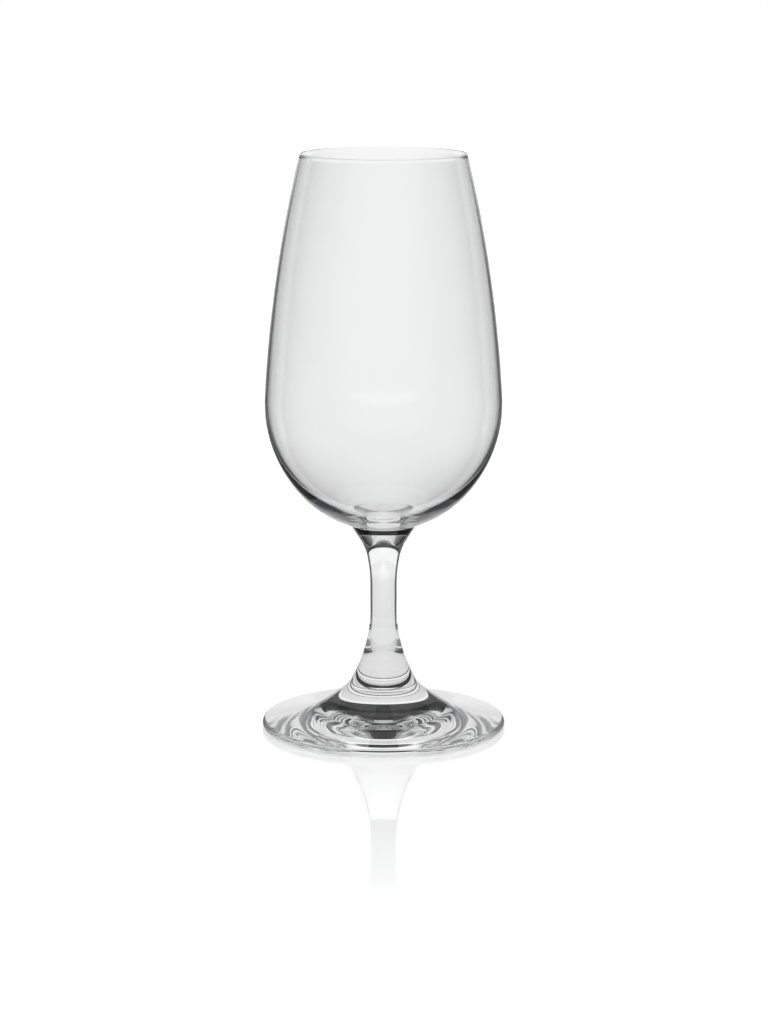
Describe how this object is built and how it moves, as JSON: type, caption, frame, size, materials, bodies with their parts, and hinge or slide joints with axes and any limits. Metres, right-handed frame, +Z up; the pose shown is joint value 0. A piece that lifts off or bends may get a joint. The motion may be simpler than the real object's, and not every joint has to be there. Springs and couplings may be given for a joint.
{
  "type": "wine tasting glass",
  "caption": "Clear stemmed tasting glass: thin tulip bowl narrowing to a fire-polished mouth, slim waisted stem, round foot that slopes to a thin edge.",
  "frame": {"origin": "centre of the resting plane under the foot", "axes": "+Z up along the axis of the glass; X and Y are free because the glass is turned"},
  "size_m": [0.0656, 0.0656, 0.155],
  "materials": {
    "bowl_glass": "clear blown glass, fire polished",
    "stem_glass": "clear pressed glass, polished",
    "foot_glass": "clear pressed glass, polished"
  },
  "bodies": {
    "root": {"bowl": "bowl_glass", "stem": "stem_glass", "foot": "foot_glass"}
  },
  "joints": []
}
